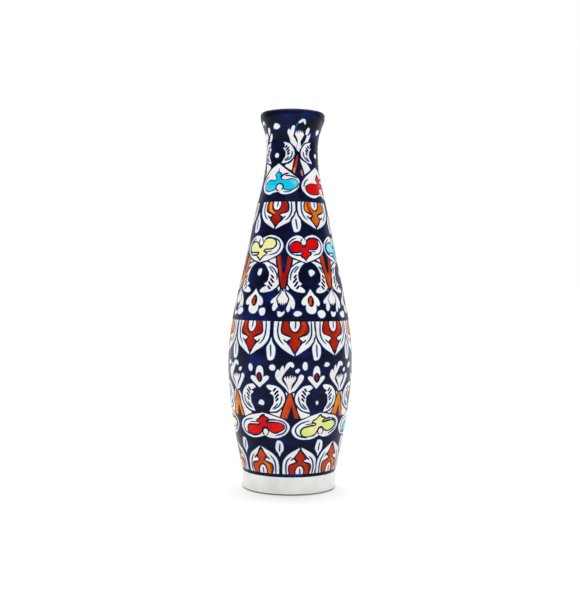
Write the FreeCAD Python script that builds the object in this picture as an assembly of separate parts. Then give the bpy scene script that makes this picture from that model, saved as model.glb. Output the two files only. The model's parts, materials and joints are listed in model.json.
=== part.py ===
"""Tall glazed earthenware vase with a painted, enamelled surface.

The body is built the potter's way: a floor slab with a coiled foot ring under it, then a lower body, an
upper body and a neck thrown apart and luted together with slip in stepped joints, and a coil that forms the
rim. Thin glaze and enamel coats lie on the clay, one for each painted zone. Every piece is a solid of
revolution about Z. Millimetres, +Z up, with the origin on the standing plane at the centre of the foot.
"""

import FreeCAD
import Part
import os

V = FreeCAD.Vector
os.makedirs("parts", exist_ok=True)

# ---- driving dimensions, mm -----------------------------------------------------------------------
HEIGHT = 305.0
OUTER_COAT = 0.4            # glaze and enamel on the outside
INNER_COAT = 0.3            # lining glaze
SLIP = 0.3                  # slip layer in a luted joint
LINE_RISE = 0.15            # how far a painted ring line stands proud of the coats beside it

FOOT_R = 38.0               # glazed radius where the foot stands
FOOT_TOP_R = 38.2           # glazed radius at the top of the plain foot band
FOOT_INNER_R = 30.5
FOOT_DEPTH = 4.2            # height of the hollow under the floor
FOOT_EDGE = 0.6             # worn chamfer of the bare foot
BARE_FOOT = 1.1             # height of unglazed clay left above the standing plane
FLOOR_THICK = 5.0
FLOOR_LINING = 0.6          # the lining pools thicker on the floor
CORNER_R = 29.0             # inner radius where the wall meets the floor

THROAT_R = 16.0             # lined radius of the cylindrical throat
THROAT_LOW, THROAT_HIGH = 260.0, 276.0
RIM_OUT_R, RIM_IN_R = 26.2, 21.2
RIM_BEAD_R = (RIM_OUT_R - RIM_IN_R) / 2
RIM_Z = HEIGHT - RIM_BEAD_R

# glazed outline from the foot line to the rim bead, as (radius, height)
OUTLINE = [(FOOT_TOP_R, 14.4), (43.7, 40), (48.5, 70), (50.8, 103), (47.7, 137), (41.2, 168),
           (34.3, 200), (27.9, 231), (24.0, 247), (21.0, 269), (22.8, 290), (RIM_OUT_R, RIM_Z)]
# lined inside of the body, from the floor corner up to the throat
INSIDE = [(28.4, FOOT_DEPTH + FLOOR_THICK + FLOOR_LINING), (38.3, 38), (43.5, 70), (45.8, 103), (42.7, 137),
          (36.2, 168), (29.3, 200), (22.9, 231), (18.8, 247), (THROAT_R, THROAT_LOW)]
# lined inside of the flare, from the throat up to the rim bead
FLARE_POINTS = [(THROAT_R, THROAT_HIGH), (17.8, 289), (RIM_IN_R, RIM_Z)]

# heights that divide the coats, from the foot up
FOOT_LINE = (14.4, 17.2)
BELLY_LINE = (137.0, 139.4)
NECK_LINE = (231.0, 233.0)
FOOT_PETALS_TOP = 45.0
LOWER_FRIEZE_TOP = 106.0
UPPER_FRIEZE_TOP = 206.0
NECK_FRIEZE_TOP = 297.0
RIM_COAT_INSIDE = 293.0     # how far down the inside the rim coat reaches

# heights of the luted joints, and the step in each
BELLY_JOINT, NECK_JOINT, RIM_JOINT = 138.0, 232.0, 294.0
STEP = 3.0

FLOOR_Z = FOOT_DEPTH + FLOOR_THICK
WALL_Z = FLOOR_Z + SLIP


# ---- curves ---------------------------------------------------------------------------------------
def at(point):
    """A (radius, height) pair as a point in the plane of the section."""
    return V(point[0], 0, point[1])


def spline(points, start, end):
    """A smooth curve through the points, with its directions at both ends."""
    curve = Part.BSplineCurve()
    curve.interpolate(Points=[at(p) for p in points], InitialTangent=V(start[0], 0, start[1]),
                      FinalTangent=V(end[0], 0, end[1]))
    return curve


def moved_out(curve, points, distance):
    """The points moved along the curve's normal, away from the axis for a positive distance."""
    moved = []
    for point in points:
        tangent = curve.tangent(curve.parameter(at(point)))[0]
        moved.append((point[0] + tangent.z * distance, point[1] - tangent.x * distance))
    return moved


def height_parameter(curve, z):
    """Where a curve that only climbs passes the height z."""
    low, high = curve.FirstParameter, curve.LastParameter
    for _ in range(60):
        middle = (low + high) / 2
        if curve.value(middle).z < z:
            low = middle
        else:
            high = middle
    return (low + high) / 2


class Wall:
    """A surface of the section, as curves that climb one above another."""

    def __init__(self, *curves):
        self.curves = curves
        self.bottom = curves[0].value(curves[0].FirstParameter)
        self.top = curves[-1].value(curves[-1].LastParameter)

    def edges(self, z0, z1):
        """Edges of the surface between two heights."""
        found = []
        for curve in self.curves:
            first, last = curve.FirstParameter, curve.LastParameter
            low, high = curve.value(first).z, curve.value(last).z
            if high - z0 < 1e-7 or z1 - low < 1e-7:
                continue
            a = first if z0 <= low + 1e-7 else height_parameter(curve, z0)
            b = last if z1 >= high - 1e-7 else height_parameter(curve, z1)
            found.append(curve.toShape(a, b))
        return found

    def point(self, z):
        """The point of the surface at a height."""
        for curve in self.curves:
            if curve.value(curve.LastParameter).z >= z - 1e-7:
                return curve.value(height_parameter(curve, z))
        return self.top


UP = (0.0, 1.0)
FLARE = (0.22, 1.0)         # the body leaves the foot line at this slope
FLOOR_TURN = (1.0, 0.35)    # the inside leaves the floor nearly flat

glaze_outline = spline(OUTLINE, FLARE, UP)
clay_outline = spline(moved_out(glaze_outline, OUTLINE, -OUTER_COAT), FLARE, UP)
lining_belly = spline(INSIDE, FLOOR_TURN, UP)
clay_belly_points = moved_out(lining_belly, INSIDE, INNER_COAT)
clay_belly_points[0] = (CORNER_R, WALL_Z)
clay_belly = spline(clay_belly_points, FLOOR_TURN, UP)
lining_flare = spline(FLARE_POINTS, UP, UP)
clay_flare = spline(moved_out(lining_flare, FLARE_POINTS, INNER_COAT), UP, UP)

GLAZE_OUT = Wall(Part.LineSegment(V(FOOT_R, 0, 0), V(FOOT_TOP_R, 0, FOOT_LINE[0])), glaze_outline)
clay_foot_r = FOOT_R - OUTER_COAT
clay_outline_start = clay_outline.value(clay_outline.FirstParameter)
CLAY_OUT = Wall(Part.LineSegment(V(clay_foot_r, 0, 0), clay_outline_start), clay_outline)
LINING = Wall(lining_belly, Part.LineSegment(V(THROAT_R, 0, THROAT_LOW), V(THROAT_R, 0, THROAT_HIGH)),
              lining_flare)
clay_throat_r = THROAT_R + INNER_COAT
clay_throat = Part.LineSegment(V(clay_throat_r, 0, THROAT_LOW), V(clay_throat_r, 0, THROAT_HIGH))
CLAY_IN = Wall(clay_belly, clay_throat, clay_flare)


# ---- making and writing solids ----------------------------------------------------------------------
def path(*points):
    """Straight edges through the points."""
    return [Part.makeLine(a, b) for a, b in zip(points, points[1:]) if (b - a).Length > 1e-6]


def turned(edges):
    """The solid that a closed section makes when it turns once about Z."""
    wire = Part.Wire(Part.__sortEdges__(edges))
    solid = Part.Face(wire).revolve(V(0, 0, 0), V(0, 0, 1), 360)
    solid = solid if solid.ShapeType == "Solid" else solid.Solids[0]
    if solid.Volume < 0:
        solid.reverse()
    return solid


def write(name, solid):
    """Checks a sub-part and writes its STEP file."""
    if not solid.isValid() or not solid.isClosed():
        raise ValueError(name + " is not a closed solid")
    solid.exportStep("parts/" + name + ".step")
    box = solid.BoundBox
    print(f"{name:22s} {solid.Volume / 1000:8.2f} cm3   z {box.ZMin:7.2f} to {box.ZMax:7.2f}")


def disc(inner_r, outer_r, z0, z1):
    """A flat disc or washer."""
    corners = [V(inner_r, 0, z0), V(outer_r, 0, z0), V(outer_r, 0, z1), V(inner_r, 0, z1)]
    return turned(path(*corners, corners[0]))


class Joint:
    """A stepped joint between two clay sections: the lower one's inner half stands up as a collar, which fits
    inside the upper one's edge, with slip all along the step."""

    def __init__(self, z):
        self.z = z
        self.middle = (CLAY_OUT.point(z).x + CLAY_IN.point(z).x) / 2

    def side(self, shift):
        """The step's corners from the outside to the inside, shifted to the slip's lower or upper face."""
        outer_z, inner_z = self.z + shift, self.z + STEP + shift
        middle = self.middle + shift
        return [CLAY_OUT.point(outer_z), V(middle, 0, outer_z), V(middle, 0, inner_z), CLAY_IN.point(inner_z)]

    @property
    def below(self):
        return self.side(-SLIP / 2)

    @property
    def above(self):
        return self.side(SLIP / 2)


def clay_section(lower, upper):
    """A length of clay wall between two stepped joints."""
    low, high = lower.above, upper.below
    return turned(CLAY_OUT.edges(low[0].z, high[0].z) + path(*high)
                  + CLAY_IN.edges(low[-1].z, high[-1].z) + path(*low))


def slip_seam(joint):
    """The layer of slip that fills a stepped joint."""
    below, above = joint.below, joint.above
    return turned(path(*below) + path(*above) + CLAY_OUT.edges(below[0].z, above[0].z)
                  + CLAY_IN.edges(below[-1].z, above[-1].z))


def outer_coat(z0, z1):
    """A band of glaze or enamel on the outside."""
    return turned(GLAZE_OUT.edges(z0, z1) + CLAY_OUT.edges(z0, z1)
                  + path(GLAZE_OUT.point(z0), CLAY_OUT.point(z0))
                  + path(GLAZE_OUT.point(z1), CLAY_OUT.point(z1)))


def ring_line(z0, z1):
    """A painted line round the body, slightly raised between its edges."""
    low, high, middle = (GLAZE_OUT.point(z) for z in (z0, z1, (z0 + z1) / 2))
    raised = Part.Arc(low, middle + V(LINE_RISE, 0, 0), high).toShape()
    return turned([raised] + CLAY_OUT.edges(z0, z1) + path(low, CLAY_OUT.point(z0))
                  + path(high, CLAY_OUT.point(z1)))


def bead(outer, inner):
    """The half round over the rim, from an outer point to an inner one."""
    radius = (outer.x - inner.x) / 2
    crown = V((outer.x + inner.x) / 2, 0, outer.z + radius)
    return Part.Arc(outer, crown, inner).toShape()


# ---- the clay ---------------------------------------------------------------------------------------
belly_joint, neck_joint, rim_joint = Joint(BELLY_JOINT), Joint(NECK_JOINT), Joint(RIM_JOINT)


def foot_ring():
    """The coil under the floor, with worn edges where it stands."""
    top = FOOT_DEPTH - SLIP
    inner = [V(FOOT_INNER_R, 0, top), V(FOOT_INNER_R, 0, FOOT_EDGE), V(FOOT_INNER_R + FOOT_EDGE, 0, 0)]
    outer = [V(clay_foot_r - FOOT_EDGE, 0, 0), CLAY_OUT.point(FOOT_EDGE)]
    return turned(CLAY_OUT.edges(FOOT_EDGE, top) + path(CLAY_OUT.point(top), *inner, *outer))


def floor_slab():
    """The disc that closes the body, flush with the clay outside it."""
    return turned(CLAY_OUT.edges(FOOT_DEPTH, FLOOR_Z)
                  + path(CLAY_OUT.point(FLOOR_Z), V(0, 0, FLOOR_Z), V(0, 0, FOOT_DEPTH),
                         CLAY_OUT.point(FOOT_DEPTH)))


def flat_seam(inner_r, z0, z1):
    """A flat ring of slip, flush with the clay outside it."""
    return turned(CLAY_OUT.edges(z0, z1) + path(CLAY_OUT.point(z1), V(inner_r, 0, z1), V(inner_r, 0, z0),
                                                CLAY_OUT.point(z0)))


def lower_body():
    """The thrown wall from the floor to the belly joint."""
    high = belly_joint.below
    return turned(CLAY_OUT.edges(WALL_Z, high[0].z) + path(*high) + CLAY_IN.edges(WALL_Z, high[-1].z)
                  + path(CLAY_IN.bottom, CLAY_OUT.point(WALL_Z)))


def rim_coil():
    """The coil that makes the flared rim and its rounded bead."""
    low = rim_joint.above
    return turned(CLAY_OUT.edges(low[0].z, RIM_Z) + [bead(CLAY_OUT.top, CLAY_IN.top)]
                  + CLAY_IN.edges(low[-1].z, RIM_Z) + path(*low))


write("foot_ring", foot_ring())
write("floor_slab", floor_slab())
write("lower_body_wall", lower_body())
write("upper_body_wall", clay_section(belly_joint, neck_joint))
write("neck_wall", clay_section(neck_joint, rim_joint))
write("rim_coil", rim_coil())

# ---- the slip in the joints -------------------------------------------------------------------------
write("foot_slip_seam", flat_seam(FOOT_INNER_R, FOOT_DEPTH - SLIP, FOOT_DEPTH))
write("floor_slip_seam", flat_seam(CORNER_R, FLOOR_Z, WALL_Z))
write("belly_slip_seam", slip_seam(belly_joint))
write("neck_slip_seam", slip_seam(neck_joint))
write("rim_slip_seam", slip_seam(rim_joint))


# ---- the glaze and enamel coats ---------------------------------------------------------------------
def rim_coat():
    """The dark coat that wraps over the rim and a little way down inside."""
    return turned(GLAZE_OUT.edges(NECK_FRIEZE_TOP, RIM_Z) + CLAY_OUT.edges(NECK_FRIEZE_TOP, RIM_Z)
                  + [bead(GLAZE_OUT.top, LINING.top), bead(CLAY_OUT.top, CLAY_IN.top)]
                  + LINING.edges(RIM_COAT_INSIDE, RIM_Z) + CLAY_IN.edges(RIM_COAT_INSIDE, RIM_Z)
                  + path(GLAZE_OUT.point(NECK_FRIEZE_TOP), CLAY_OUT.point(NECK_FRIEZE_TOP))
                  + path(LINING.point(RIM_COAT_INSIDE), CLAY_IN.point(RIM_COAT_INSIDE)))


def inside_lining():
    """The pale lining from under the rim coat down over the floor."""
    return turned(LINING.edges(0, RIM_COAT_INSIDE) + CLAY_IN.edges(0, RIM_COAT_INSIDE)
                  + path(LINING.point(RIM_COAT_INSIDE), CLAY_IN.point(RIM_COAT_INSIDE))
                  + path(LINING.bottom, V(0, 0, LINING.bottom.z), V(0, 0, FLOOR_Z), V(CORNER_R, 0, FLOOR_Z),
                         CLAY_IN.bottom))


write("inside_lining", inside_lining())
write("underside_wash", disc(0, FOOT_INNER_R, FOOT_DEPTH - INNER_COAT, FOOT_DEPTH))
write("rim_coat", rim_coat())

COAT_BANDS = {
    "foot_band_glaze": (BARE_FOOT, FOOT_LINE[0]),
    "foot_petal_enamel": (FOOT_LINE[1], FOOT_PETALS_TOP),
    "lower_frieze_enamel": (FOOT_PETALS_TOP, LOWER_FRIEZE_TOP),
    "belly_petal_enamel": (LOWER_FRIEZE_TOP, BELLY_LINE[0]),
    "upper_frieze_enamel": (BELLY_LINE[1], UPPER_FRIEZE_TOP),
    "shoulder_petal_enamel": (UPPER_FRIEZE_TOP, NECK_LINE[0]),
    "neck_frieze_enamel": (NECK_LINE[1], NECK_FRIEZE_TOP),
}
for coat_name, (coat_low, coat_high) in COAT_BANDS.items():
    write(coat_name, outer_coat(coat_low, coat_high))

RING_LINES = {"foot_ring_line": FOOT_LINE, "belly_ring_line": BELLY_LINE, "neck_ring_line": NECK_LINE}
for line_name, (line_low, line_high) in RING_LINES.items():
    write(line_name, ring_line(line_low, line_high))
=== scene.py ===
"""Looks of the painted pottery vase: the brushed enamel bands, the glazes, the bare foot, light and camera.

The painting is drawn band by band on the flattened wall, in millimetres round the girth and up the height.
Each band is cut into triangles along every painted edge, and the triangles of one colour become one thin,
closed enamel piece that follows the wall of the CAD vase.
"""
import json
import math

import bpy
import numpy as np
from mathutils import Matrix, Vector, noise
from mathutils.geometry import delaunay_2d_cdt


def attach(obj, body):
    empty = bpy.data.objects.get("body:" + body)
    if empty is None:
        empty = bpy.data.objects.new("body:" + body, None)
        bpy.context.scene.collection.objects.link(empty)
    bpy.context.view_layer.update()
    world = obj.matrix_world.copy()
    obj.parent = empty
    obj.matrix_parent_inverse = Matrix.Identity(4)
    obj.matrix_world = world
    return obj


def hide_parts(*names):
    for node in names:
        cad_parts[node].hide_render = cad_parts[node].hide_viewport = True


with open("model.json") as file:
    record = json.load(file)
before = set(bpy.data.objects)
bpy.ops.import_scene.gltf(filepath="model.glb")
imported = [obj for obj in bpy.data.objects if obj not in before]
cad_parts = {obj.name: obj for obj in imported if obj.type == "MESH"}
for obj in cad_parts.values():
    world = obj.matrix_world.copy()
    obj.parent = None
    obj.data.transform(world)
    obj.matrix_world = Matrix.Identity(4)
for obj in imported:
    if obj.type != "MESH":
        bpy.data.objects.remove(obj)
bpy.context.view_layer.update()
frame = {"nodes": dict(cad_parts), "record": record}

MM = 0.001
NOISE_SEED = 11     # any number but 0, which would take the clock's time
noise.seed_set(NOISE_SEED)

# ---- the wall that is painted -----------------------------------------------------------------------
# glazed outline of the CAD vase above its foot line, as (radius, height) in mm
OUTLINE = [(38.2, 14.4), (43.7, 40), (48.5, 70), (50.8, 103), (47.7, 137), (41.2, 168),
           (34.3, 200), (27.9, 231), (24.0, 247), (21.0, 269), (22.8, 290), (26.2, 302.5)]
START_SLOPE = (0.22, 1.0)
END_SLOPE = (0.0, 1.0)


def clamped_spline(points, start, end, samples=40):
    """Dense points of a cubic spline through the points, with its directions at both ends."""
    p = np.array(points, float)
    t = np.concatenate([[0], np.cumsum(np.linalg.norm(np.diff(p, axis=0), axis=1))])
    h = np.diff(t)[:, None]
    n = len(p)
    matrix = np.zeros((n, n))
    right = np.zeros((n, 2))
    matrix[0, 0] = matrix[-1, -1] = 1
    right[0] = np.array(start) / np.hypot(*start)
    right[-1] = np.array(end) / np.hypot(*end)
    for i in range(1, n - 1):
        a, b = h[i - 1, 0], h[i, 0]
        matrix[i, i - 1], matrix[i, i], matrix[i, i + 1] = b, 2 * (a + b), a
        right[i] = 3 * (b * (p[i] - p[i - 1]) / a + a * (p[i + 1] - p[i]) / b)
    slope = np.linalg.solve(matrix, right)
    found = []
    for i in range(n - 1):
        s = np.linspace(0, 1, samples, endpoint=False)[:, None]
        found.append((2 * s ** 3 - 3 * s ** 2 + 1) * p[i] + (s ** 3 - 2 * s ** 2 + s) * h[i] * slope[i]
                     + (3 * s ** 2 - 2 * s ** 3) * p[i + 1] + (s ** 3 - s ** 2) * h[i] * slope[i + 1])
    return np.vstack(found + [p[-1:]])


WALL = clamped_spline(OUTLINE, START_SLOPE, END_SLOPE)
WALL_SLOPE = np.gradient(WALL[:, 0], WALL[:, 1])


def wall_points(angle, z, lift):
    """Points on the wall, in metres, and the outward normals there. Angles in degrees, 0 at the front."""
    radius = np.interp(z, WALL[:, 1], WALL[:, 0])
    slope = np.interp(z, WALL[:, 1], WALL_SLOPE)
    size = np.sqrt(1 + slope ** 2)
    out, up = 1 / size, -slope / size
    a = np.radians(angle)
    r = radius + lift * out
    points = np.stack([r * np.sin(a), -r * np.cos(a), z + lift * up], 1) * MM
    normals = np.stack([out * np.sin(a), -out * np.cos(a), up], 1)
    return points, normals


# ---- curves in the flattened band -------------------------------------------------------------------
STEP = 0.8          # spacing of points along a painted edge, mm
WOBBLE = 0.46       # how far the hand strays, mm
WOBBLE_SCALE = 0.11
SEED_STEP = 3.1     # keeps the wobble of one stroke apart from the next
RIM_UNEVEN = 0.45   # share of a rim's width that comes and goes
RIM_SCALE = 0.2
SWELL_IN = 0.18     # share of a stroke over which the brush is pressed down
LIFT_OFF = 0.3      # share of a stroke over which it is lifted
SWELL_POWER = 0.6


def smooth(points, closed):
    """A curve through the points. A third value of 1 marks a corner."""
    p = [np.array(q[:2], float) for q in points]
    corner = [len(q) > 2 for q in points]
    n = len(p)
    found = []
    for i in range(n if closed else n - 1):
        b, c = p[i], p[(i + 1) % n]
        a = b if corner[i] or (not closed and i == 0) else p[i - 1]
        d = c if corner[(i + 1) % n] or (not closed and i == n - 2) else p[(i + 2) % n]
        count = max(1, int(round(np.linalg.norm(c - b) / STEP)))
        for s in np.arange(count) / count:
            found.append(0.5 * (2 * b + (c - a) * s + (2 * a - 5 * b + 4 * c - d) * s ** 2
                                + (3 * b - a - 3 * c + d) * s ** 3))
    if not closed:
        found.append(p[-1])
    return np.array(found)


def stray(points, seed):
    """The points with the small unevenness of a hand-held brush."""
    moved = []
    for u, z in points:
        v = noise.noise_vector(Vector((u * WOBBLE_SCALE, z * WOBBLE_SCALE, seed)))
        moved.append((u + WOBBLE * v.x, z + WOBBLE * v.y))
    return np.array(moved)


def side_normals(points, closed):
    """Unit normals to the right of the curve's direction."""
    if closed:
        along = np.roll(points, -1, 0) - np.roll(points, 1, 0)
    else:
        along = np.gradient(points, axis=0)
    size = np.maximum(np.linalg.norm(along, axis=1), 1e-9)[:, None]
    return np.stack([along[:, 1], -along[:, 0]], 1) / size


def grown(points, distance, seed):
    """A closed curve moved outward by an uneven distance."""
    area = np.sum(points[:, 0] * np.roll(points[:, 1], -1) - np.roll(points[:, 0], -1) * points[:, 1])
    normals = side_normals(points, True) * (1 if area > 0 else -1)
    places = [Vector((u * RIM_SCALE, z * RIM_SCALE, seed + 7)) for u, z in points]
    uneven = [1 + RIM_UNEVEN * noise.noise(place) for place in places]
    return points + normals * distance * np.array(uneven)[:, None]


def brushed(points, width, blunt=0.25):
    """The outline of a brush stroke along an open curve: it swells in and lifts off to a finer end."""
    s = np.linspace(0, 1, len(points))
    swell = np.clip(np.minimum(s / SWELL_IN, (1 - s) / LIFT_OFF), 0, 1) ** SWELL_POWER
    half = width / 2 * (blunt + (1 - blunt) * swell)
    normals = side_normals(points, False) * half[:, None]
    return np.vstack([points + normals, (points - normals)[::-1]])


# ---- painting a band --------------------------------------------------------------------------------
# how far each colour stands out from the wall, mm
LIFT = {"ink": 0.0, "line": 0.03, "cobalt": 0.03, "mist": 0.05, "white": 0.08, "red": 0.12, "turquoise": 0.12,
        "yellow": 0.12, "amber": 0.12, "orange": 0.12, "rust": 0.12}
COAT = 0.3          # depth of an enamel piece below the wall, mm
GRID = 2.4          # spacing of the triangles inside a plain patch, mm
WELD = 0.0001       # points closer than this become one, mm
INK_RIM = (("ink", 1.6), ("cobalt", 0.55), ("mist", 0.18))
HEART_RIM = (("ink", 1.3), ("cobalt", 0.4), ("mist", 0.15))
FILL_RIM = (("cobalt", 1.35), ("ink", 1.1))
LINE_RIM = (("mist", 0.25),)
NO_RIM = ()


class Band:
    """One painted zone of the wall, from one height to another."""

    def __init__(self, name, node, low, high):
        self.name = name
        self.node = node
        self.low = low
        self.high = high
        self.mm_per_degree = math.radians(np.interp((low + high) / 2, WALL[:, 1], WALL[:, 0]))
        self.half_girth = 180 * self.mm_per_degree
        self.shapes = []
        self.seed = 0

    def patch(self, colour, outline):
        """Lays a patch of colour over what is there, and again where it crosses the back of the vase."""
        girth = 2 * self.half_girth
        for turn in (-girth, 0, girth):
            moved = outline + np.array([turn, 0])
            if moved[:, 0].max() > -self.half_girth and moved[:, 0].min() < self.half_girth:
                self.shapes.append((colour, moved))

    def blob(self, place, points, colour, rims=INK_RIM):
        """A filled shape with its rims under it, widest first."""
        self.seed += 1
        outline = stray(smooth([place(self, *q) for q in points], True), self.seed * SEED_STEP)
        for rim_colour, width in rims:
            self.patch(rim_colour, grown(outline, width, self.seed))
        self.patch(colour, outline)

    def line(self, place, points, width, colour, rims=NO_RIM):
        """A brush stroke with its rims under it."""
        self.seed += 1
        route = stray(smooth([place(self, *q) for q in points], False), self.seed * SEED_STEP)
        for rim_colour, extra in rims:
            self.patch(rim_colour, brushed(route, width + 2 * extra))
        self.patch(colour, brushed(route, width))


def circle(count):
    """Angles that go evenly round a circle."""
    return np.linspace(0, 2 * math.pi, count, endpoint=False)


def placed(angle, half_width, base, height, tilt=0.0, mirror=1):
    """Puts motif points, x from -1 to 1 and y from 0 to 1, on a band. The tilt is in mm across the width."""
    def place(band, x, y, *corner):
        u = (angle + mirror * half_width * x) * band.mm_per_degree
        return (u, base + height * y + tilt * x * mirror, *corner)
    return place


def mirrored(points):
    """An outline from its left half, which runs from the base up to the tip on the centre line."""
    return points + [(-x, y, *corner) for x, y, *corner in reversed(points) if x != 0]


# ---- motifs -----------------------------------------------------------------------------------------
HEART = [(0.05, 1.0, 1), (0.4, 0.9), (0.8, 0.74), (1.0, 0.48), (0.88, 0.2), (0.55, 0.03), (0.25, 0.04),
         (0.1, 0.14, 1), (-0.1, 0.05), (-0.45, 0.0), (-0.83, 0.12), (-1.0, 0.4), (-0.84, 0.68),
         (-0.4, 0.88)]
HEART_FILL = [(0.07, 0.9, 1), (0.11, 0.82), (0.25, 0.76, 1), (0.15, 0.69), (0.19, 0.6), (0.42, 0.6),
              (0.67, 0.6), (0.8, 0.47), (0.7, 0.32), (0.46, 0.26), (0.3, 0.33), (0.21, 0.45), (0.12, 0.48),
              (0.02, 0.43), (-0.05, 0.28), (-0.16, 0.17), (-0.38, 0.13), (-0.58, 0.18), (-0.65, 0.32),
              (-0.56, 0.45), (-0.35, 0.49), (-0.14, 0.5), (-0.05, 0.57), (-0.1, 0.63), (-0.22, 0.68, 1),
              (-0.08, 0.75), (0.0, 0.83)]
TALL_HEART = [(-0.1, 1.0, 1), (0.24, 0.85), (0.66, 0.66), (0.97, 0.47), (0.97, 0.28), (0.8, 0.12),
              (0.5, 0.02), (0.22, 0.01), (0.05, 0.1, 1), (-0.2, 0.07), (-0.46, 0.01), (-0.77, 0.09),
              (-0.98, 0.28), (-0.93, 0.5), (-0.62, 0.76)]
TALL_HEART_FILL = [(-0.07, 0.74, 1), (0.11, 0.66, 1), (0.06, 0.56), (0.14, 0.48), (0.34, 0.46), (0.66, 0.5),
                   (0.86, 0.45), (0.92, 0.35), (0.8, 0.22), (0.54, 0.15), (0.34, 0.17), (0.2, 0.27),
                   (0.06, 0.34), (-0.08, 0.27), (-0.18, 0.16), (-0.48, 0.12), (-0.74, 0.2), (-0.78, 0.34),
                   (-0.55, 0.45), (-0.2, 0.44), (-0.1, 0.52), (-0.19, 0.63, 1)]
KNOB = [(math.cos(t), math.sin(t)) for t in circle(6)]
KNOB_WIDTH, KNOB_HEIGHT = 2.1, 2.3      # half sizes, mm


def knob(band, place, x, y, slant):
    """A round white knob in the cleft of a heart, open to the white below it."""
    def beside(band, dx, dy, *corner):
        u, z, *_ = place(band, x, y)
        return (u + KNOB_WIDTH * dx, z + KNOB_HEIGHT * dy, *corner)
    way = 1 if place(band, x, 1)[1] > place(band, x, 0)[1] else -1
    band.blob(beside, KNOB, "white", (("ink", 1.1), ("cobalt", 0.2)))
    band.line(beside, [(0, -0.5 * way), (slant * 0.5, -1.3 * way)], 2.6, "white")
    band.line(beside, [(0.4 * slant, -1.0 * way), (1.1 * slant, -0.5 * way)], 0.9, "ink")


def heart(band, place, colour):
    """A wide white heart with a coloured heart of two lobes and an arrow tail in it."""
    band.blob(place, HEART, "white", HEART_RIM)
    band.line(place, [(-0.42, 0.06), (-0.76, 0.18), (-0.86, 0.42), (-0.7, 0.65), (-0.34, 0.74)], 1.1, "line",
              LINE_RIM)
    band.line(place, [(0.5, 0.11), (0.79, 0.23), (0.9, 0.46), (0.75, 0.67), (0.42, 0.77)], 1.1, "line",
              LINE_RIM)
    band.blob(place, HEART_FILL, colour, FILL_RIM)
    band.line(place, [(0.18, 0.66), (0.32, 0.74), (0.56, 0.73)], 1.1, "ink", (("cobalt", 0.15),))
    band.line(place, [(-0.15, 0.62), (-0.3, 0.61), (-0.52, 0.6)], 0.9, "ink")
    band.line(place, [(0.07, 0.86), (0.05, 0.97)], 0.9, "ink")
    knob(band, place, 0.13, 0.26, -1)


def tall_heart(band, place, colour):
    """A heart with straight shoulders, as round the neck."""
    band.blob(place, TALL_HEART, "white", (("ink", 1.7), ("cobalt", 0.45), ("mist", 0.15)))
    band.line(place, [(-0.9, 0.34), (-0.84, 0.5), (-0.66, 0.62)], 0.9, "line", LINE_RIM)
    band.line(place, [(0.3, 0.61), (0.6, 0.6), (0.9, 0.53)], 1.0, "line", LINE_RIM)
    band.blob(place, TALL_HEART_FILL, colour, (("cobalt", 0.9), ("ink", 0.5)))
    band.line(place, [(0.5, 0.68), (0.27, 0.65), (0.1, 0.56), (0.14, 0.47)], 1.1, "ink", (("cobalt", 0.15),))
    band.line(place, [(-0.08, 0.7), (-0.03, 0.78), (-0.05, 0.86)], 0.8, "ink")
    band.line(place, [(0.25, 0.08), (0.5, 0.09), (0.74, 0.18)], 0.8, "line", LINE_RIM)
    knob(band, place, 0.07, 0.23, 1)


PETAL = mirrored([(-1.0, 0.0, 1), (-1.0, 0.26), (-0.95, 0.5), (-0.7, 0.72), (-0.32, 0.88), (0, 1.0, 1)])
PETAL_FILL = mirrored([(-0.52, 0.0, 1), (-0.6, 0.18), (-0.58, 0.34), (-0.3, 0.41), (-0.14, 0.47),
                       (-0.15, 0.54), (-0.31, 0.61, 1), (-0.18, 0.71), (-0.07, 0.82), (0, 0.9, 1)])
PETAL_DROP = mirrored([(-0.2, 0.0, 1), (-0.22, 0.14), (-0.13, 0.27), (0, 0.31)])


def petal(band, place, colour, second, side_of_second):
    """An ogee petal that grows from a ring line, with a slit at its tip and a trident whose one arm is washed
    with a second colour."""
    band.blob(place, PETAL, "white")
    for side in (-1, 1):
        band.line(place, [(0.78 * side, -0.02), (0.81 * side, 0.3), (0.72 * side, 0.52), (0.5 * side, 0.68)],
                  1.15, "line", LINE_RIM)
    band.blob(place, PETAL_FILL, colour, FILL_RIM)
    arm = [(0.4, -0.04), (0.43, 0.16), (0.34, 0.33), (0.1, 0.44)]
    band.line(place, [(x * side_of_second, y) for x, y in arm], 2.3, second)
    for side in (-1, 1):
        band.line(place, [(0.2 * side, 0.63), (0.4 * side, 0.6), (0.52 * side, 0.52)], 1.0, "ink",
                  (("cobalt", 0.2),))
    band.line(place, [(0, 0.84), (0, 0.93), (-0.01, 1.03)], 1.25, "ink", (("cobalt", 0.15),))
    band.blob(place, PETAL_DROP, "white", (("ink", 1.25), ("cobalt", 0.3)))
    band.line(place, [(0.04, 0.0), (0.03, 0.12), (0.0, 0.22)], 1.0, "line", LINE_RIM)


LEAF = [(0, 0.0, 1), (0.3, 0.2), (0.95, 0.42), (0.95, 0.75), (0.5, 0.97), (-0.45, 1.02), (-0.8, 0.84),
        (-0.95, 0.45), (-0.32, 0.2)]


def leaf(band, place):
    """A small white leaf between two petals."""
    band.blob(place, LEAF, "white")
    band.line(place, [(-0.06, 0.3), (0.04, 0.6), (0.14, 0.88)], 1.05, "line", LINE_RIM)


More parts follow.
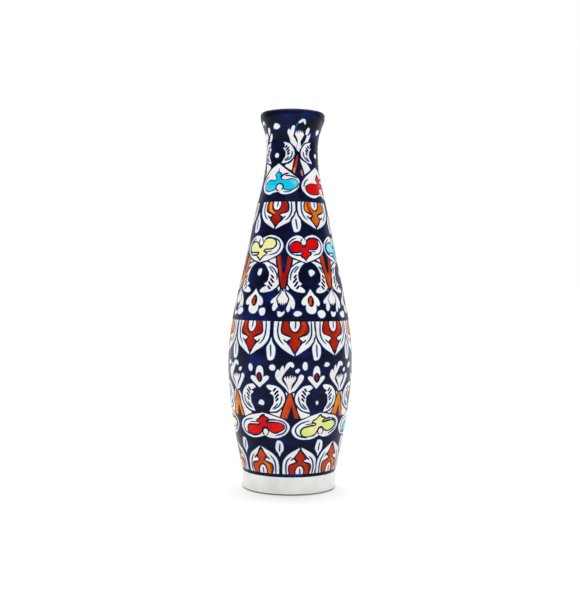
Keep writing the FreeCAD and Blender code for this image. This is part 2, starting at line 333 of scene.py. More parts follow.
BUD = [(-0.07, -0.08, 1), (-0.1, 0.1), (-0.24, 0.26), (-0.43, 0.41, 1), (-0.31, 0.51, 1), (-0.24, 0.39, 1),
       (-0.15, 0.53, 1), (-0.07, 0.4, 1), (0.03, 0.56, 1), (0.11, 0.41, 1), (0.2, 0.55, 1), (0.27, 0.42, 1),
       (0.36, 0.53, 1), (0.47, 0.46, 1), (0.36, 0.34), (0.2, 0.24), (0.1, 0.1), (0.1, -0.08, 1)]
BUD_CAP = [(0.03, 0.87, 1), (0.32, 0.65), (0.6, 0.46), (0.44, 0.28), (0.18, 0.1), (0.08, 0.0), (-0.08, 0.0),
           (-0.2, 0.12), (-0.42, 0.26), (-0.57, 0.42), (-0.27, 0.67)]
FLOWER_LEAF = [(-0.1, -0.05, 1), (-0.3, 0.08), (-0.6, 0.2), (-0.9, 0.34), (-1.08, 0.52), (-1.02, 0.68),
               (-0.86, 0.75), (-0.74, 0.64, 1), (-0.68, 0.8), (-0.52, 0.89), (-0.44, 0.72, 1), (-0.3, 0.91),
               (-0.06, 1.01), (0.2, 0.98), (0.31, 0.87), (0.18, 0.82), (0.03, 0.85), (-0.2, 0.65),
               (-0.48, 0.42), (-0.34, 0.26), (-0.16, 0.1), (0.08, -0.05, 1)]
FLOWER_FINGER = [(0.06, -0.05, 1), (0.26, 0.19), (0.5, 0.32), (0.66, 0.5), (0.82, 0.56), (0.99, 0.52),
                 (0.96, 0.4), (0.66, 0.18), (0.34, -0.02)]
OPEN_FLOWER_LEFT = [(-0.1, -0.1, 1), (-0.26, 0.04), (-0.6, 0.18), (-0.92, 0.35), (-0.9, 0.46),
                    (-0.66, 0.42, 1), (-0.77, 0.6), (-0.74, 0.73), (-0.6, 0.76), (-0.46, 0.66),
                    (-0.36, 0.55), (-0.4, 0.42), (-0.45, 0.3), (-0.2, 0.1), (0.0, -0.02, 1)]
OPEN_FLOWER_RIGHT = [(0.1, -0.14, 1), (0.24, -0.04), (0.62, 0.12), (0.9, 0.34), (0.93, 0.56), (0.82, 0.67),
                     (0.7, 0.64), (0.63, 0.5, 1), (0.55, 0.7), (0.42, 0.81), (0.33, 0.74), (0.33, 0.56),
                     (0.44, 0.38), (0.44, 0.28), (0.2, 0.08), (0.0, -0.02, 1)]
OPEN_BUD = [(-0.1, -0.04, 1), (-0.22, 0.1), (-0.42, 0.25), (-0.38, 0.36), (-0.31, 0.47, 1), (-0.24, 0.41, 1),
            (-0.16, 0.52, 1), (-0.09, 0.41, 1), (0.0, 0.54, 1), (0.07, 0.42, 1), (0.15, 0.51, 1),
            (0.21, 0.41, 1), (0.29, 0.46, 1), (0.38, 0.35), (0.41, 0.25), (0.24, 0.1), (0.12, -0.04, 1)]
OPEN_BUD_CAP = [(-0.05, 0.81, 1), (0.22, 0.64), (0.42, 0.42), (0.5, 0.26), (0.3, 0.08), (0.14, -0.05, 1),
                (-0.12, -0.05, 1), (-0.3, 0.1), (-0.51, 0.27), (-0.43, 0.44), (-0.28, 0.66)]
OPEN_HOOD = [(-0.38, 0.78, 1), (-0.32, 0.97), (-0.12, 1.0), (0.12, 0.9), (0.23, 0.76, 1), (0.02, 0.84),
             (-0.2, 0.8)]
NECK_FLOWER_LEAF = [(-0.05, -0.02, 1), (-0.2, 0.06), (-0.34, 0.18), (-0.77, 0.31), (-0.9, 0.46),
                    (-1.07, 0.64), (-0.93, 0.73), (-0.8, 0.67, 1), (-0.62, 0.83), (-0.44, 0.81),
                    (-0.48, 0.7), (-0.5, 0.56), (-0.24, 0.4), (0.0, 0.3)]
NECK_BUD = [(-0.05, -0.02, 1), (-0.25, 0.14), (-0.12, 0.34), (-0.24, 0.46), (-0.43, 0.56, 1),
            (-0.3, 0.67, 1), (-0.22, 0.58, 1), (-0.1, 0.7, 1), (0.0, 0.6, 1), (0.1, 0.69, 1),
            (0.18, 0.6, 1), (0.28, 0.66, 1), (0.46, 0.56, 1), (0.3, 0.46), (0.13, 0.33), (0.25, 0.14),
            (0.12, 0.0, 1)]
NECK_BUD_CAP = [(0.28, 0.93, 1), (0.5, 0.76), (0.62, 0.56), (0.36, 0.38), (0.2, 0.26), (-0.16, 0.28),
                (-0.36, 0.42), (-0.56, 0.56), (-0.26, 0.78)]
NECK_FLOWER_FINGER = [(0.0, 0.02, 1), (0.3, 0.24), (0.62, 0.38), (0.86, 0.56), (1.04, 0.62), (1.14, 0.54),
                      (0.95, 0.4), (0.6, 0.24), (0.28, 0.06)]


def flower(band, place):
    """A half-open flower: a bud under a dark cap, finger leaves at its sides and a hood over it."""
    band.blob(place, FLOWER_LEAF, "white")
    band.blob(place, FLOWER_FINGER, "white")
    band.line(place, [(0.4, 0.64), (0.56, 0.71), (0.7, 0.76)], 2.7, "white", (("ink", 1.2), ("cobalt", 0.4)))
    band.blob(place, BUD_CAP, "ink", (("cobalt", 0.2),))
    band.blob(place, BUD, "white", (("cobalt", 0.2),))


def open_flower(band, place):
    """A flower with finger leaves at both sides of its bud, and a small hood past the dark cap."""
    band.blob(place, OPEN_HOOD, "white")
    band.blob(place, OPEN_FLOWER_LEFT, "white")
    band.blob(place, OPEN_FLOWER_RIGHT, "white")
    band.blob(place, OPEN_BUD_CAP, "ink", (("cobalt", 0.2),))
    band.blob(place, OPEN_BUD, "white", (("cobalt", 0.2),))


def neck_flower(band, place):
    """The taller flower round the neck, on a thick stem and under a thin curled hood."""
    band.blob(place, NECK_FLOWER_LEAF, "white")
    band.blob(place, NECK_FLOWER_FINGER, "white")
    band.line(place, [(0.64, 0.58), (0.76, 0.7), (0.86, 0.8)], 2.5, "white", INK_RIM)
    band.line(place, [(-0.4, 0.62), (-0.38, 0.78), (-0.16, 0.91), (0.2, 1.0), (0.4, 0.86)], 1.1, "cobalt")
    band.line(place, [(-0.16, 0.91), (0.02, 0.96), (0.26, 1.01), (0.4, 0.88)], 1.35, "white",
              (("mist", 0.4),))
    band.blob(place, NECK_BUD_CAP, "ink", NO_RIM)
    band.line(place, [(0.06, -0.14), (0.02, 0.06), (0.0, 0.3)], 4.0, "white", (("cobalt", 0.3),))
    band.blob(place, NECK_BUD, "white", (("cobalt", 0.3),))


ACANTHUS_BACK = [(-1.4, -0.92), (-2.02, -0.2), (-2.02, 0.7)]
ACANTHUS_FRONT = [(-1.1, 0.5), (-1.08, -0.1)]
LONG_HOOK = [(-1.5, 1.4), (-0.8, 1.62), (-0.5, 1.5), (-0.66, 1.22), (-1.04, 1.02, 1), (-0.78, 0.8, 1)]
NECK_HOOK = [(-1.62, 1.45), (-1.25, 1.66), (-0.88, 1.78, 1), (-1.06, 1.4), (-0.98, 1.22, 1), (-1.12, 1.04),
             (-0.84, 0.92, 1)]
SHORT_TIP = [(-0.9, -0.62), (-0.7, -1.1, 1)]
LONG_TIP = [(-0.95, -0.62), (-0.6, -1.05), (-0.12, -1.3, 1), (-0.7, -1.24)]
DISC = [(math.cos(t), math.sin(t)) for t in circle(8)]
DISC_REACH = 1.14       # how far the disc reaches in between its leaves
SPOT_CORNERS = 7
SPOT_UNEVEN = 0.38


def acanthus(band, place, hook, tip):
    """A curled leaf at the left of a dark disc."""
    band.blob(place, ACANTHUS_BACK + hook + ACANTHUS_FRONT + tip, "white",
              (("ink", 1.5), ("cobalt", 0.4), ("mist", 0.15)))
    for x, y, reach in ((-1.2, 1.14, 0.8), (-1.32, 0.84, 1.1), (-1.4, 0.5, 1.0), (-1.42, 0.16, 0.8)):
        vein = [(x - 0.18 * reach, y + 0.2 * reach), (x, y), (x + 0.17 * reach, y - 0.26 * reach)]
        band.line(place, vein, 1.15, "ink", (("cobalt", 0.25),))
    band.line(place, [(-1.82, 0.5), (-1.8, 0.0), (-1.55, -0.5), (-1.1, -0.86)], 1.0, "line", LINE_RIM)
    band.line(place, [(-1.5, -0.2), (-1.26, -0.55), (-0.98, -0.82)], 0.9, "line", LINE_RIM)


def disc(band, angle, half_width, z, half_height, dot, hook=LONG_HOOK, tip=SHORT_TIP):
    """A dark disc between two curled leaves, with a white dot on it."""
    for mirror in (1, -1):
        acanthus(band, placed(angle, half_width, z, half_height, mirror=mirror), hook, tip)
    band.blob(placed(angle, DISC_REACH * half_width, z, half_height), DISC, "ink", NO_RIM)
    spot(band, *dot)


def spot(band, angle, z, half_width, half_height):
    """A white dab of the brush."""
    outline = []
    for t in circle(SPOT_CORNERS):
        reach = 1 + SPOT_UNEVEN * noise.noise(Vector((angle * 0.7, z * 0.3, 2.1 * t)))
        outline.append((reach * math.cos(t), reach * math.sin(t)))
    band.blob(placed(angle, half_width, z, half_height), outline, "white", (("cobalt", 0.7), ("mist", 0.2)))


SPEAR = [(-1.0, -0.12, 1), (-0.48, 0.45), (0, 1.0, 1), (0.48, 0.45), (1.0, -0.12, 1)]
SPEAR_FIELD = [(-2.7, -0.1, 1), (-1.6, 0.3), (-0.25, 1.0), (0.25, 1.0), (1.6, 0.3), (2.7, -0.1, 1)]
NECK_FIELD = [(-3.0, -0.1, 1), (-2.2, 0.3), (-1.1, 0.72), (-0.25, 1.05), (0.25, 1.05), (1.1, 0.72),
              (2.2, 0.3), (3.0, -0.1, 1)]
SPEAR_FOOT = [(-1.1, -0.5, 1), (-1.1, -0.1, 1), (1.1, -0.1, 1), (1.1, -0.5, 1)]
SHORT_CORE = [(-0.3, -0.2, 1), (0.14, 0.42, 1), (0.66, -0.2, 1)]
WIDE_CORE = [(-0.5, -0.2, 1), (-0.22, 0.3), (0.02, 0.46, 1), (0.26, 0.3), (0.5, -0.2, 1)]


def spear_fields(band, places, outline=SPEAR_FIELD):
    """The white fields behind the spears of a band."""
    for place in places:
        band.blob(place, outline, "white", (("ink", 1.0),))


def spear(band, place, colour, core, streak):
    """A coloured spear tip with a black core and a streak of a second colour down its left side."""
    band.blob(place, SPEAR, colour, (("ink", 1.4),))
    band.line(place, [(-0.78, -0.1), (-0.5, 0.25), (-0.22, 0.66)], 1.6, streak)
    band.blob(place, core, "ink", NO_RIM)
    band.blob(place, SPEAR_FOOT, "ink", NO_RIM)


def dark_spear(band, place):
    """A black spear tip with two orange streaks, as round the neck."""
    band.blob(place, SPEAR, "ink", (("ink", 1.2),))
    band.line(place, [(-0.7, -0.08), (-0.42, 0.25), (-0.05, 0.82)], 1.7, "amber")
    band.line(place, [(-0.66, -0.02), (-0.42, 0.3)], 1.3, "orange")
    band.line(place, [(0.78, -0.08), (0.6, 0.18)], 1.0, "orange")
    band.blob(place, SPEAR_FOOT, "ink", NO_RIM)


CROCUS = [(0, 1.0, 1), (0.42, 0.62), (0.88, 0.22), (1.0, -0.02), (0.8, -0.12), (0.38, 0.06, 1),
          (0.42, -0.4), (0.3, -0.85), (0.02, -1.0), (-0.26, -0.86), (-0.4, -0.45), (-0.38, 0.06, 1),
          (-0.66, -0.06), (-0.94, -0.06), (-1.0, 0.14), (-0.5, 0.6)]
TREFOIL = [(0, 1.0, 1), (0.4, 0.55), (0.86, 0.25), (1.02, -0.12), (0.86, -0.34), (0.58, -0.26, 1),
           (0.56, -0.6), (0.34, -0.94), (-0.04, -1.02), (-0.42, -0.9), (-0.56, -0.6), (-0.52, -0.26, 1),
           (-0.84, -0.3), (-1.02, -0.1), (-0.84, 0.22), (-0.36, 0.56)]
LENS = [(0.04, 0.42, 1), (0.22, 0.16), (0.2, -0.14), (0.02, -0.34), (-0.19, -0.12), (-0.18, 0.16)]


def spade(band, place, outline, colour, thread):
    """A small white trefoil with a dark lens that has a thread of colour in it."""
    band.blob(place, outline, "white")
    band.blob(place, LENS, "ink", (("ink", 1.1),))
    band.line(place, [(-0.03, -0.3), (-0.05, 0.0), (0.03, 0.34)], thread, colour)


# ---- the bands, from the rim down -------------------------------------------------------------------
def neck_band():
    """Flowers, discs and upright hearts round the neck."""
    band = Band("neck", "neck_frieze_enamel", 233.0, 297.0)
    for angle, z in ((-33, 291.5), (63, 288), (151, 290), (-123, 291)):
        spot(band, angle, z, 6.5, 2.1)
    spears = (11, 103, -167, -78)
    places = [placed(angle, 12.5, 253.5, 18) for angle in spears]
    spear_fields(band, places, NECK_FIELD)
    for angle in spears:
        neck_flower(band, placed(angle + 4, 23, 270.5, 25.5))
    for angle in (-37, 61, 149, -122):
        disc(band, angle, 20, 268.8, 5.9, (angle + 1, 268.8, 4.6, 1.7), NECK_HOOK)
    for place in places:
        dark_spear(band, place)
    hearts = ((-26, 237, 40, "turquoise"), (62, 234.5, 44, "red"), (147, 237, 39, "yellow"),
              (-119, 236, 43, "red"))
    for angle, z, half_width, colour in hearts:
        tall_heart(band, placed(angle, half_width, z, 24.8), colour)
    return band


def shoulder_band():
    """Petals that hang from the line at the foot of the neck."""
    band = Band("shoulder", "shoulder_petal_enamel", 206.0, 231.0)
    petals = ((-23.5, "rust", "orange"), (38, "orange", "amber"), (108, "amber", "orange"),
              (180, "rust", "amber"), (-96, "amber", "orange"))
    for angle, colour, second in petals:
        petal(band, placed(angle, 28.5, 231.5, -22.3, -0.6), colour, second, -1)
    for angle in (-58, 7, 73, 144, -138):
        leaf(band, placed(angle, 6, 222.5, -15.5))
    return band


def upper_band():
    """Hanging hearts, discs, downward spears, flowers and trefoils on the upper body."""
    band = Band("upper", "upper_frieze_enamel", 139.4, 206.0)
    spears = ((-9, "rust"), (46.5, "amber"), (105, "rust"), (166, "amber"), (-133, "rust"), (-70, "orange"))
    places = [placed(angle + 0.8, 10.5, 187, -29) for angle, _ in spears]
    spear_fields(band, places)
    for angle, half_width in ((-41, 14), (21.5, 12.2), (76, 12.8), (135, 13.8), (-163, 13.5), (-102, 14)):
        disc(band, angle, half_width, 172.8, -8.4, (angle + 2.5, 175, 3.2, 2.7), tip=LONG_TIP)
    for place, (_, colour) in zip(places, spears):
        spear(band, place, colour, WIDE_CORE, "amber")
    hearts = ((-39.5, 29, "yellow"), (19.5, 26, "red"), (73, 26, "turquoise"), (134, 28, "yellow"),
              (-164, 28, "red"), (-102, 28, "turquoise"))
    for angle, half_width, colour in hearts:
        heart(band, placed(angle, half_width, 204.3, -21.3, 0.0, -1), colour)
    for angle, _ in spears:
        open_flower(band, placed(angle + 1, 12.8, 159.6, -18.8))
    for angle, half_width in ((-40, 11), (20.5, 9.5), (75, 10), (135, 11), (-163, 10), (-102, 11)):
        spade(band, placed(angle, half_width, 152.5, 9.5), TREFOIL, "amber", 2.0)
    for angle, z, half_width, half_height in (
            (-60, 144, 5.5, 2.8), (-28.5, 144.5, 4, 3.3), (7, 143, 4, 1.8), (31, 142.8, 4, 3.2),
            (62, 142.5, 4.5, 2.5), (91, 144, 4, 2.8), (120, 143, 4.5, 2.4), (151, 144, 4, 3),
            (-178, 143, 4, 2.4), (-148, 143.5, 4.5, 3), (-118, 144, 4, 2.6), (-87, 143, 4.5, 2.8)):
        spot(band, angle, z, half_width, half_height)
    return band


def belly_band():
    """Petals that hang from the line round the belly."""
    band = Band("belly", "belly_petal_enamel", 106.0, 137.0)
    petals = ((-80, "orange", -1), (-38.5, "rust", -1), (4, "rust", 1), (43.5, "rust", 1), (82, "orange", 1),
              (121.5, "rust", -1), (161, "rust", 1), (-159.5, "orange", -1), (-120, "rust", 1))
    for angle, colour, side in petals:
        petal(band, placed(angle, 19.2, 137.5, -27), colour, "amber", side)
    for angle in (-59, -17.5, 23.8, 63, 102, 141, -179, -140, -100):
        leaf(band, placed(angle, 4, 124.5, -17))
    return band


def lower_band():
    """Flowers, crocuses, discs, upright spears and hearts on the lower body."""
    band = Band("lower", "lower_frieze_enamel", 45.0, 106.0)
    for angle, z, half_width, half_height in (
            (-37.5, 101, 2.2, 3.1), (-16, 101.5, 2.5, 2.1), (13.3, 102.6, 2.3, 3.2), (34.5, 103.6, 2.8, 1.6),
            (67, 102, 2.6, 2.6), (98, 102, 3, 2.2), (128, 102, 2.6, 2.6), (158, 102, 3, 2.2),
            (-166, 102, 2.8, 2.6), (-134, 102, 2.6, 2.2), (-101, 102, 3, 2.6), (-70, 103, 2.6, 2)):
        spot(band, angle, z, half_width, half_height)
    spears = ((0, "amber"), (51, "orange"), (114, "amber"), (177, "orange"), (-117, "amber"), (-57, "orange"))
    places = [placed(angle, 8.5, 64, 19.5) for angle, _ in spears]
    spear_fields(band, places)
    discs = ((-26.2, 10.5, 2.9), (25.8, 9.8, 1.2), (82, 11.3, 2.8), (145, 11.5, 2.2), (-150, 11, 2.8),
             (-86.5, 11, 2.4))
    for angle, half_width, dot in discs:
        disc(band, angle, half_width, 75.5, 7.8, (angle - 0.3, 74, dot, 1.0 + 0.4 * dot))
    for place, (_, colour) in zip(places, spears):
        spear(band, place, colour, SHORT_CORE, colour)
    hearts = ((-27.3, 27.3, 0, "red"), (28.5, 26, 1.7, "yellow"), (85, 27, 0.6, "turquoise"),
              (144, 28, 0, "red"), (-150, 28, 0.5, "turquoise"), (-87, 27, 0, "yellow"))
    for angle, half_width, tilt, colour in hearts:
        heart(band, placed(angle, half_width, 45.8, 20, tilt), colour)
    for angle, _ in spears:
        flower(band, placed(angle, 12, 84, 21.5))
    for angle, half_width in ((-28, 9), (24, 8), (82, 8.5), (145, 8.5), (-150, 9), (-87, 8.5)):
        spade(band, placed(angle, half_width, 94, -8.5), CROCUS, "rust", 1.0)
    return band


def foot_band():
    """Petals that stand on the line round the foot."""
    band = Band("foot", "foot_petal_enamel", 17.2, 45.0)
    petals = ((-75, 22.5, "amber"), (-31, 22.5, "amber"), (12, 22, "rust"), (52, 25.5, "amber"),
              (91, 23, "rust"), (130, 24, "amber"), (169, 22.5, "rust"), (-152, 24.5, "amber"),
              (-113, 23, "rust"))
    for angle, height, colour in petals:
        second = "amber" if colour == "rust" else "orange"
        petal(band, placed(angle, 19.4, 16.7, height, 0.4), colour, second, 1)
    for angle in (-53.5, -10, 32, 71.5, 110.5, 149.5, -171.5, -132.5, -94):
        leaf(band, placed(angle, 4, 31.5, 12.5))
    return band


# ---- from a painted band to closed enamel pieces ----------------------------------------------------
def inside(points, outline):
    """Which points lie in a closed outline, by winding number."""
    a = outline
    b = np.roll(outline, -1, 0)
    px, py = points[:, 0][:, None], points[:, 1][:, None]
    side = (b[:, 0] - a[:, 0]) * (py - a[:, 1]) - (px - a[:, 0]) * (b[:, 1] - a[:, 1])
    up = (a[:, 1] <= py) & (b[:, 1] > py) & (side > 0)
    down = (a[:, 1] > py) & (b[:, 1] <= py) & (side < 0)
    return (up.sum(1) - down.sum(1)) != 0


def cut(band):
    """Triangles of the flattened band along every painted edge, and each triangle's colour."""
    x0, x1, y0, y1 = -band.half_girth, band.half_girth, band.low, band.high
    across = np.linspace(x0, x1, int((x1 - x0) / GRID))
    upward = np.linspace(y0, y1, int((y1 - y0) / GRID))
    points = [np.array([(x, y) for y in upward for x in across])]
    edges = []
    count = len(points[0])
    corners = np.array([(x0, y0), (x1, y0), (x1, y1), (x0, y1)])
    for outline in [corners] + [shape for _, shape in band.shapes]:
        n = len(outline)
        points.append(outline)
        edges += [(count + i, count + (i + 1) % n) for i in range(n)]
        count += n
    everything = np.vstack(points)
    found, _, triangles, _, _, _ = delaunay_2d_cdt([Vector(p) for p in everything], edges, [], 0, WELD)
    found = np.array([tuple(v) for v in found])
    triangles = np.array(triangles)
    middle = found[triangles].mean(1)
    kept = (middle[:, 0] > x0) & (middle[:, 0] < x1) & (middle[:, 1] > y0) & (middle[:, 1] < y1)
    triangles, middle = triangles[kept], middle[kept]
    colours = np.full(len(triangles), "ink", dtype=object)
    for colour, outline in band.shapes:
        low, high = outline.min(0), outline.max(0)
        near = np.nonzero((middle >= low).all(1) & (middle <= high).all(1))[0]
        if len(near):
            colours[near[inside(middle[near], outline)]] = colour
    return found, triangles, colours


def enamel_piece(band, colour, found, triangles):
    """One colour of a band as a thin closed mesh on the wall."""
    used, local = np.unique(triangles, return_inverse=True)
    top = local.reshape(-1, 3)
    n = len(used)
    angle = found[used, 0] / band.mm_per_degree
    z = np.clip(found[used, 1], band.low, band.high)
    outer, outward = wall_points(angle, z, LIFT[colour])
    inner, _ = wall_points(angle, z, -COAT)
    seen = {edge for a, b, c in top for edge in ((a, b), (b, c), (c, a))}
    border = [(a, b) for a, b in sorted(seen) if (b, a) not in seen]
    faces = [tuple(t) for t in top] + [(a + n, c + n, b + n) for a, b, c in top]
    faces += [(b, a, a + n, b + n) for a, b in border]
    mesh = bpy.data.meshes.new(f"{band.name}_{colour}")
    mesh.from_pydata([tuple(v) for v in np.vstack([outer, inner])], [], faces)
    mesh.update()
    mesh.polygons.foreach_set("use_smooth", [True] * len(faces))
    flat = np.empty(len(faces) * 3)
    mesh.polygons.foreach_get("normal", flat)
    flat = flat.reshape(-1, 3)
    back, walls = flat[len(top):2 * len(top)], flat[2 * len(top):]
    corner_normals = np.concatenate([outward[top].reshape(-1, 3), np.repeat(back, 3, 0),
                                     np.repeat(walls, 4, 0)])
    mesh.normals_split_custom_set([tuple(v) for v in corner_normals])
    piece = bpy.data.objects.new(mesh.name, mesh)
    bpy.context.scene.collection.objects.link(piece)
    return piece


# ---- materials --------------------------------------------------------------------------------------
GLAZE_SPECULAR = 0.09       # the glaze reflects little, so the dark blue stays deep


def new_material(name, roughness, specular=0.5):
    """A principled material, with its node tree and shader."""
    material = bpy.data.materials.new(name)
    material.use_nodes = True
    tree = material.node_tree
    shader = tree.nodes["Principled BSDF"]
    shader.inputs["Roughness"].default_value = roughness
    shader.inputs["Specular IOR Level"].default_value = specular
    return material, tree, shader


def add_noise(tree, scale, detail=3.0, stretch=(1, 1, 1)):
    """Noise over the object's own coordinates, stretched along one axis for brush marks."""
    coordinates = tree.nodes.new("ShaderNodeTexCoord")
    mapping = tree.nodes.new("ShaderNodeMapping")
    mapping.inputs["Scale"].default_value = stretch
    texture = tree.nodes.new("ShaderNodeTexNoise")
    texture.inputs["Scale"].default_value = scale
    texture.inputs["Detail"].default_value = detail
    tree.links.new(coordinates.outputs["Object"], mapping.inputs["Vector"])
    tree.links.new(mapping.outputs["Vector"], texture.inputs["Vector"])
    return texture.outputs["Fac"]


def add_ramp(tree, factor, stops):
    """A colour ramp driven by a factor."""
    ramp = tree.nodes.new("ShaderNodeValToRGB")
    elements = ramp.color_ramp.elements
    while len(elements) < len(stops):
        elements.new(0.5)
    for element, (position, colour) in zip(elements, stops):
        element.position = position
        element.color = (*colour, 1)
    tree.links.new(factor, ramp.inputs["Fac"])
    return ramp.outputs["Color"]


def add_bump(tree, shader, height, strength, distance):
    """Bump from a height."""
    bump = tree.nodes.new("ShaderNodeBump")
    bump.inputs["Strength"].default_value = strength
    bump.inputs["Distance"].default_value = distance
    tree.links.new(height, bump.inputs["Height"])
    tree.links.new(bump.outputs["Normal"], shader.inputs["Normal"])


def glaze_material(name, stops, scale=90, roughness=0.16, stretch=(1, 1, 1)):
    """A glossy fired enamel with uneven brushed colour and a faintly rippled surface."""
    material, tree, shader = new_material(name, roughness, GLAZE_SPECULAR)
    colour = add_ramp(tree, add_noise(tree, scale, 4.0, stretch), stops)
    tree.links.new(colour, shader.inputs["Base Color"])
    add_bump(tree, shader, add_noise(tree, 140, 2.0), 0.12, 0.0006)
    return material


GLAZES = {
    "ink": glaze_material("ink_enamel", [(0.36, (0.001, 0.002, 0.010)), (0.56, (0.002, 0.005, 0.036)),
                                         (0.70, (0.003, 0.014, 0.115))], 45, 0.14, (1, 1, 2.2)),
    "line": glaze_material("line_enamel", [(0.35, (0.002, 0.004, 0.03)), (0.65, (0.004, 0.016, 0.12))], 120),
    "cobalt": glaze_material("cobalt_enamel", [(0.35, (0.004, 0.022, 0.16)), (0.65, (0.02, 0.09, 0.36))],
                             120),
    "mist": glaze_material("pale_blue_bleed", [(0.35, (0.14, 0.36, 0.72)), (0.65, (0.36, 0.62, 0.90))], 150),
    "white": glaze_material("white_glaze", [(0.35, (0.79, 0.77, 0.75)), (0.60, (0.88, 0.86, 0.84))], 60),
    "red": glaze_material("red_enamel", [(0.35, (0.56, 0.001, 0.0)), (0.62, (0.86, 0.002, 0.0))], 70),
    "turquoise": glaze_material("turquoise_enamel", [(0.40, (0.0, 0.52, 0.80)), (0.66, (0.22, 0.76, 0.86))],
                                50),
    "yellow": glaze_material("yellow_enamel", [(0.36, (0.64, 0.76, 0.10)), (0.60, (0.85, 0.82, 0.34))], 50),
    "amber": glaze_material("amber_enamel", [(0.35, (0.38, 0.018, 0.001)), (0.62, (0.60, 0.065, 0.002))], 60),
    "orange": glaze_material("orange_enamel", [(0.35, (0.62, 0.11, 0.002)), (0.62, (0.86, 0.31, 0.008))], 60),
    "rust": glaze_material("rust_enamel", [(0.35, (0.28, 0.004, 0.001)), (0.62, (0.46, 0.022, 0.001))], 60),
}
FOOT_GLAZE = glaze_material("foot_glaze", [(0.30, (0.80, 0.81, 0.78)), (0.62, (0.92, 0.92, 0.90))], 55, 0.22)
LINING = glaze_material("lining_glaze", [(0.35, (0.62, 0.58, 0.50)), (0.65, (0.80, 0.77, 0.70))], 40, 0.2)


def clay_material(name, dark, light):
    """Bare fired clay: speckled, matt and slightly pitted."""
    material, tree, shader = new_material(name, 0.85)
    colour = add_ramp(tree, add_noise(tree, 380, 8.0), [(0.35, dark), (0.62, light)])
    tree.links.new(colour, shader.inputs["Base Color"])
    add_bump(tree, shader, add_noise(tree, 900, 6.0), 0.5, 0.0004)
    return material


CLAY = clay_material("bare_clay", (0.20, 0.15, 0.07), (0.34, 0.26, 0.14))
SLIP = clay_material("fired_slip", (0.42, 0.30, 0.18), (0.58, 0.45, 0.31))
WASH = clay_material("foot_wash", (0.50, 0.42, 0.31), (0.70, 0.62, 0.50))


# ---- building ---------------------------------------------------------------------------------------
def paint_everything():
    """Cuts each band and makes its enamel pieces."""
    for make_band in (neck_band, shoulder_band, upper_band, belly_band, lower_band, foot_band):
        band = make_band()
        found, triangles, colours = cut(band)
        for colour in LIFT:
            chosen = triangles[colours == colour]
            if not len(chosen):
                continue
            piece = enamel_piece(band, colour, found, chosen)
            piece.data.materials.append(GLAZES[colour])
            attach(piece, "root")
            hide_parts(band.node)


def finish_nodes():
    """Gives the CAD nodes that stay in view their materials."""
    materials = {"earthenware": CLAY, "slip": SLIP, "foot_wash": WASH, "white_glaze": FOOT_GLAZE,
                 "lining_glaze": LINING, "dark_blue_enamel": GLAZES["ink"]}
    for row in frame["record"]["subparts"]:
        node = frame["nodes"][row["node"]]
        for index in range(len(node.material_slots)):
            node.material_slots[index].material = materials[row["material_slot"]]


paint_everything()
finish_nodes()


# ---- floor, light and camera ------------------------------------------------------------------------
FLOOR_REACH = 30.0
ROOM_LIGHT = 0.46           # what the room lends the vase from all round
ROOM_SHADE = 1.0            # how pale the room looks
SKY_POWER = 3.0
SKY_SPREAD = 80             # degrees
SKY_TILT = -12              # degrees
RIM_POWER = 0.9             # W
RIM_SIZE = (0.7, 0.9)
FILL_POWER = 5.0            # W
FILL_SIZE = (1.6, 0.8)
MIDDLE = (0, 0, 0.15)       # what the soft boxes aim at
FLOOR_COLOUR = (0.90, 0.90, 0.90, 1)


def make_floor():
    """A plain pale floor."""
    mesh = bpy.data.meshes.new("floor")
    corners = [(-FLOOR_REACH, -FLOOR_REACH), (FLOOR_REACH, -FLOOR_REACH), (FLOOR_REACH, FLOOR_REACH),
               (-FLOOR_REACH, FLOOR_REACH)]
    mesh.from_pydata([(x, y, 0) for x, y in corners], [], [(0, 1, 2, 3)])
    floor = bpy.data.objects.new("floor", mesh)
    bpy.context.scene.collection.objects.link(floor)
    material, _, shader = new_material("pale_floor", 0.8)
    shader.inputs["Base Color"].default_value = FLOOR_COLOUR
    mesh.materials.append(material)


def add_light(name, location, size, power):
    """A soft rectangular light that the camera doesn't see."""
    light = bpy.data.lights.new(name, "AREA")
    light.shape = "RECTANGLE"
    light.size, light.size_y = size
    light.energy = power
    lamp = bpy.data.objects.new(name, light)
    lamp.location = location
    lamp.rotation_euler = (Vector(MIDDLE) - Vector(location)).to_track_quat("-Z", "Y").to_euler()
    lamp.visible_camera = False
    bpy.context.scene.collection.objects.link(lamp)


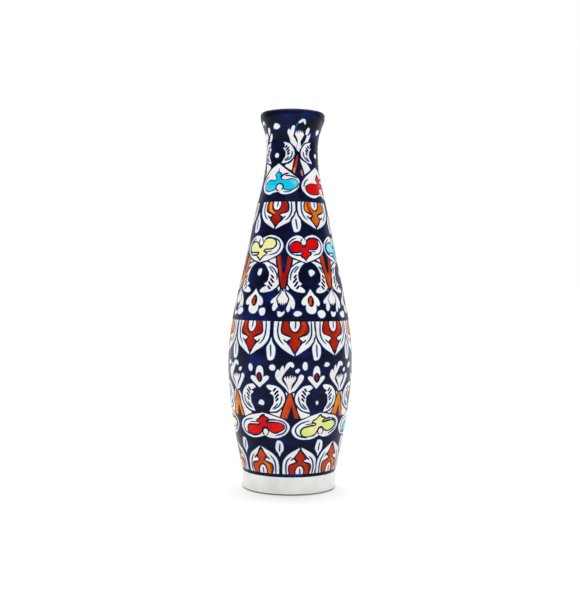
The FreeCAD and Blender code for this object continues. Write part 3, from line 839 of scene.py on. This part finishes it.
def add_sky_light():
    """A broad light from above, which evens out the floor."""
    light = bpy.data.lights.new("overhead", "SUN")
    light.energy = SKY_POWER
    light.angle = math.radians(SKY_SPREAD)
    lamp = bpy.data.objects.new("overhead", light)
    lamp.rotation_euler = (math.radians(SKY_TILT), 0, 0)
    bpy.context.scene.collection.objects.link(lamp)


def make_room():
    """A pale room that looks brighter than the light it lends."""
    world = bpy.data.worlds.new("studio")
    world.use_nodes = True
    tree = world.node_tree
    seen = tree.nodes.new("ShaderNodeLightPath")
    strength = tree.nodes.new("ShaderNodeMapRange")
    strength.inputs["To Min"].default_value = ROOM_LIGHT
    strength.inputs["To Max"].default_value = ROOM_SHADE
    tree.links.new(seen.outputs["Is Camera Ray"], strength.inputs["Value"])
    tree.links.new(strength.outputs["Result"], tree.nodes["Background"].inputs["Strength"])
    tree.nodes["Background"].inputs["Color"].default_value = (1, 1, 1, 1)
    bpy.context.scene.world = world


def make_light():
    """High-key studio light: a bright room, a broad light above, and weak soft boxes that edge the glaze."""
    make_room()
    add_sky_light()
    add_light("left_rim", (-0.9, 0.75, 0.3), RIM_SIZE, RIM_POWER)
    add_light("right_rim", (0.9, 0.75, 0.3), RIM_SIZE, RIM_POWER)
    add_light("front_fill", (0.0, -1.6, 1.7), FILL_SIZE, FILL_POWER)


CAMERA_PLACE = (-0.0006, -0.803, 0.1675)
CAMERA_PITCH = 1.05         # degrees down
CAMERA_ROLL = 0.6           # degrees
CAMERA_LENS = 58.8


def make_camera():
    """The camera, level with the middle of the vase and close to it."""
    data = bpy.data.cameras.new("camera")
    data.lens = CAMERA_LENS
    data.sensor_width = 36
    data.clip_start = 0.01
    camera = bpy.data.objects.new("camera", data)
    tipped = Matrix.Rotation(math.radians(90 - CAMERA_PITCH), 4, "X")
    rolled = Matrix.Rotation(math.radians(CAMERA_ROLL), 4, "Z")
    camera.matrix_world = Matrix.Translation(CAMERA_PLACE) @ tipped @ rolled
    bpy.context.scene.collection.objects.link(camera)
    bpy.context.scene.camera = camera


make_floor()
make_light()
make_camera()
bpy.context.scene.view_settings.view_transform = "Standard"
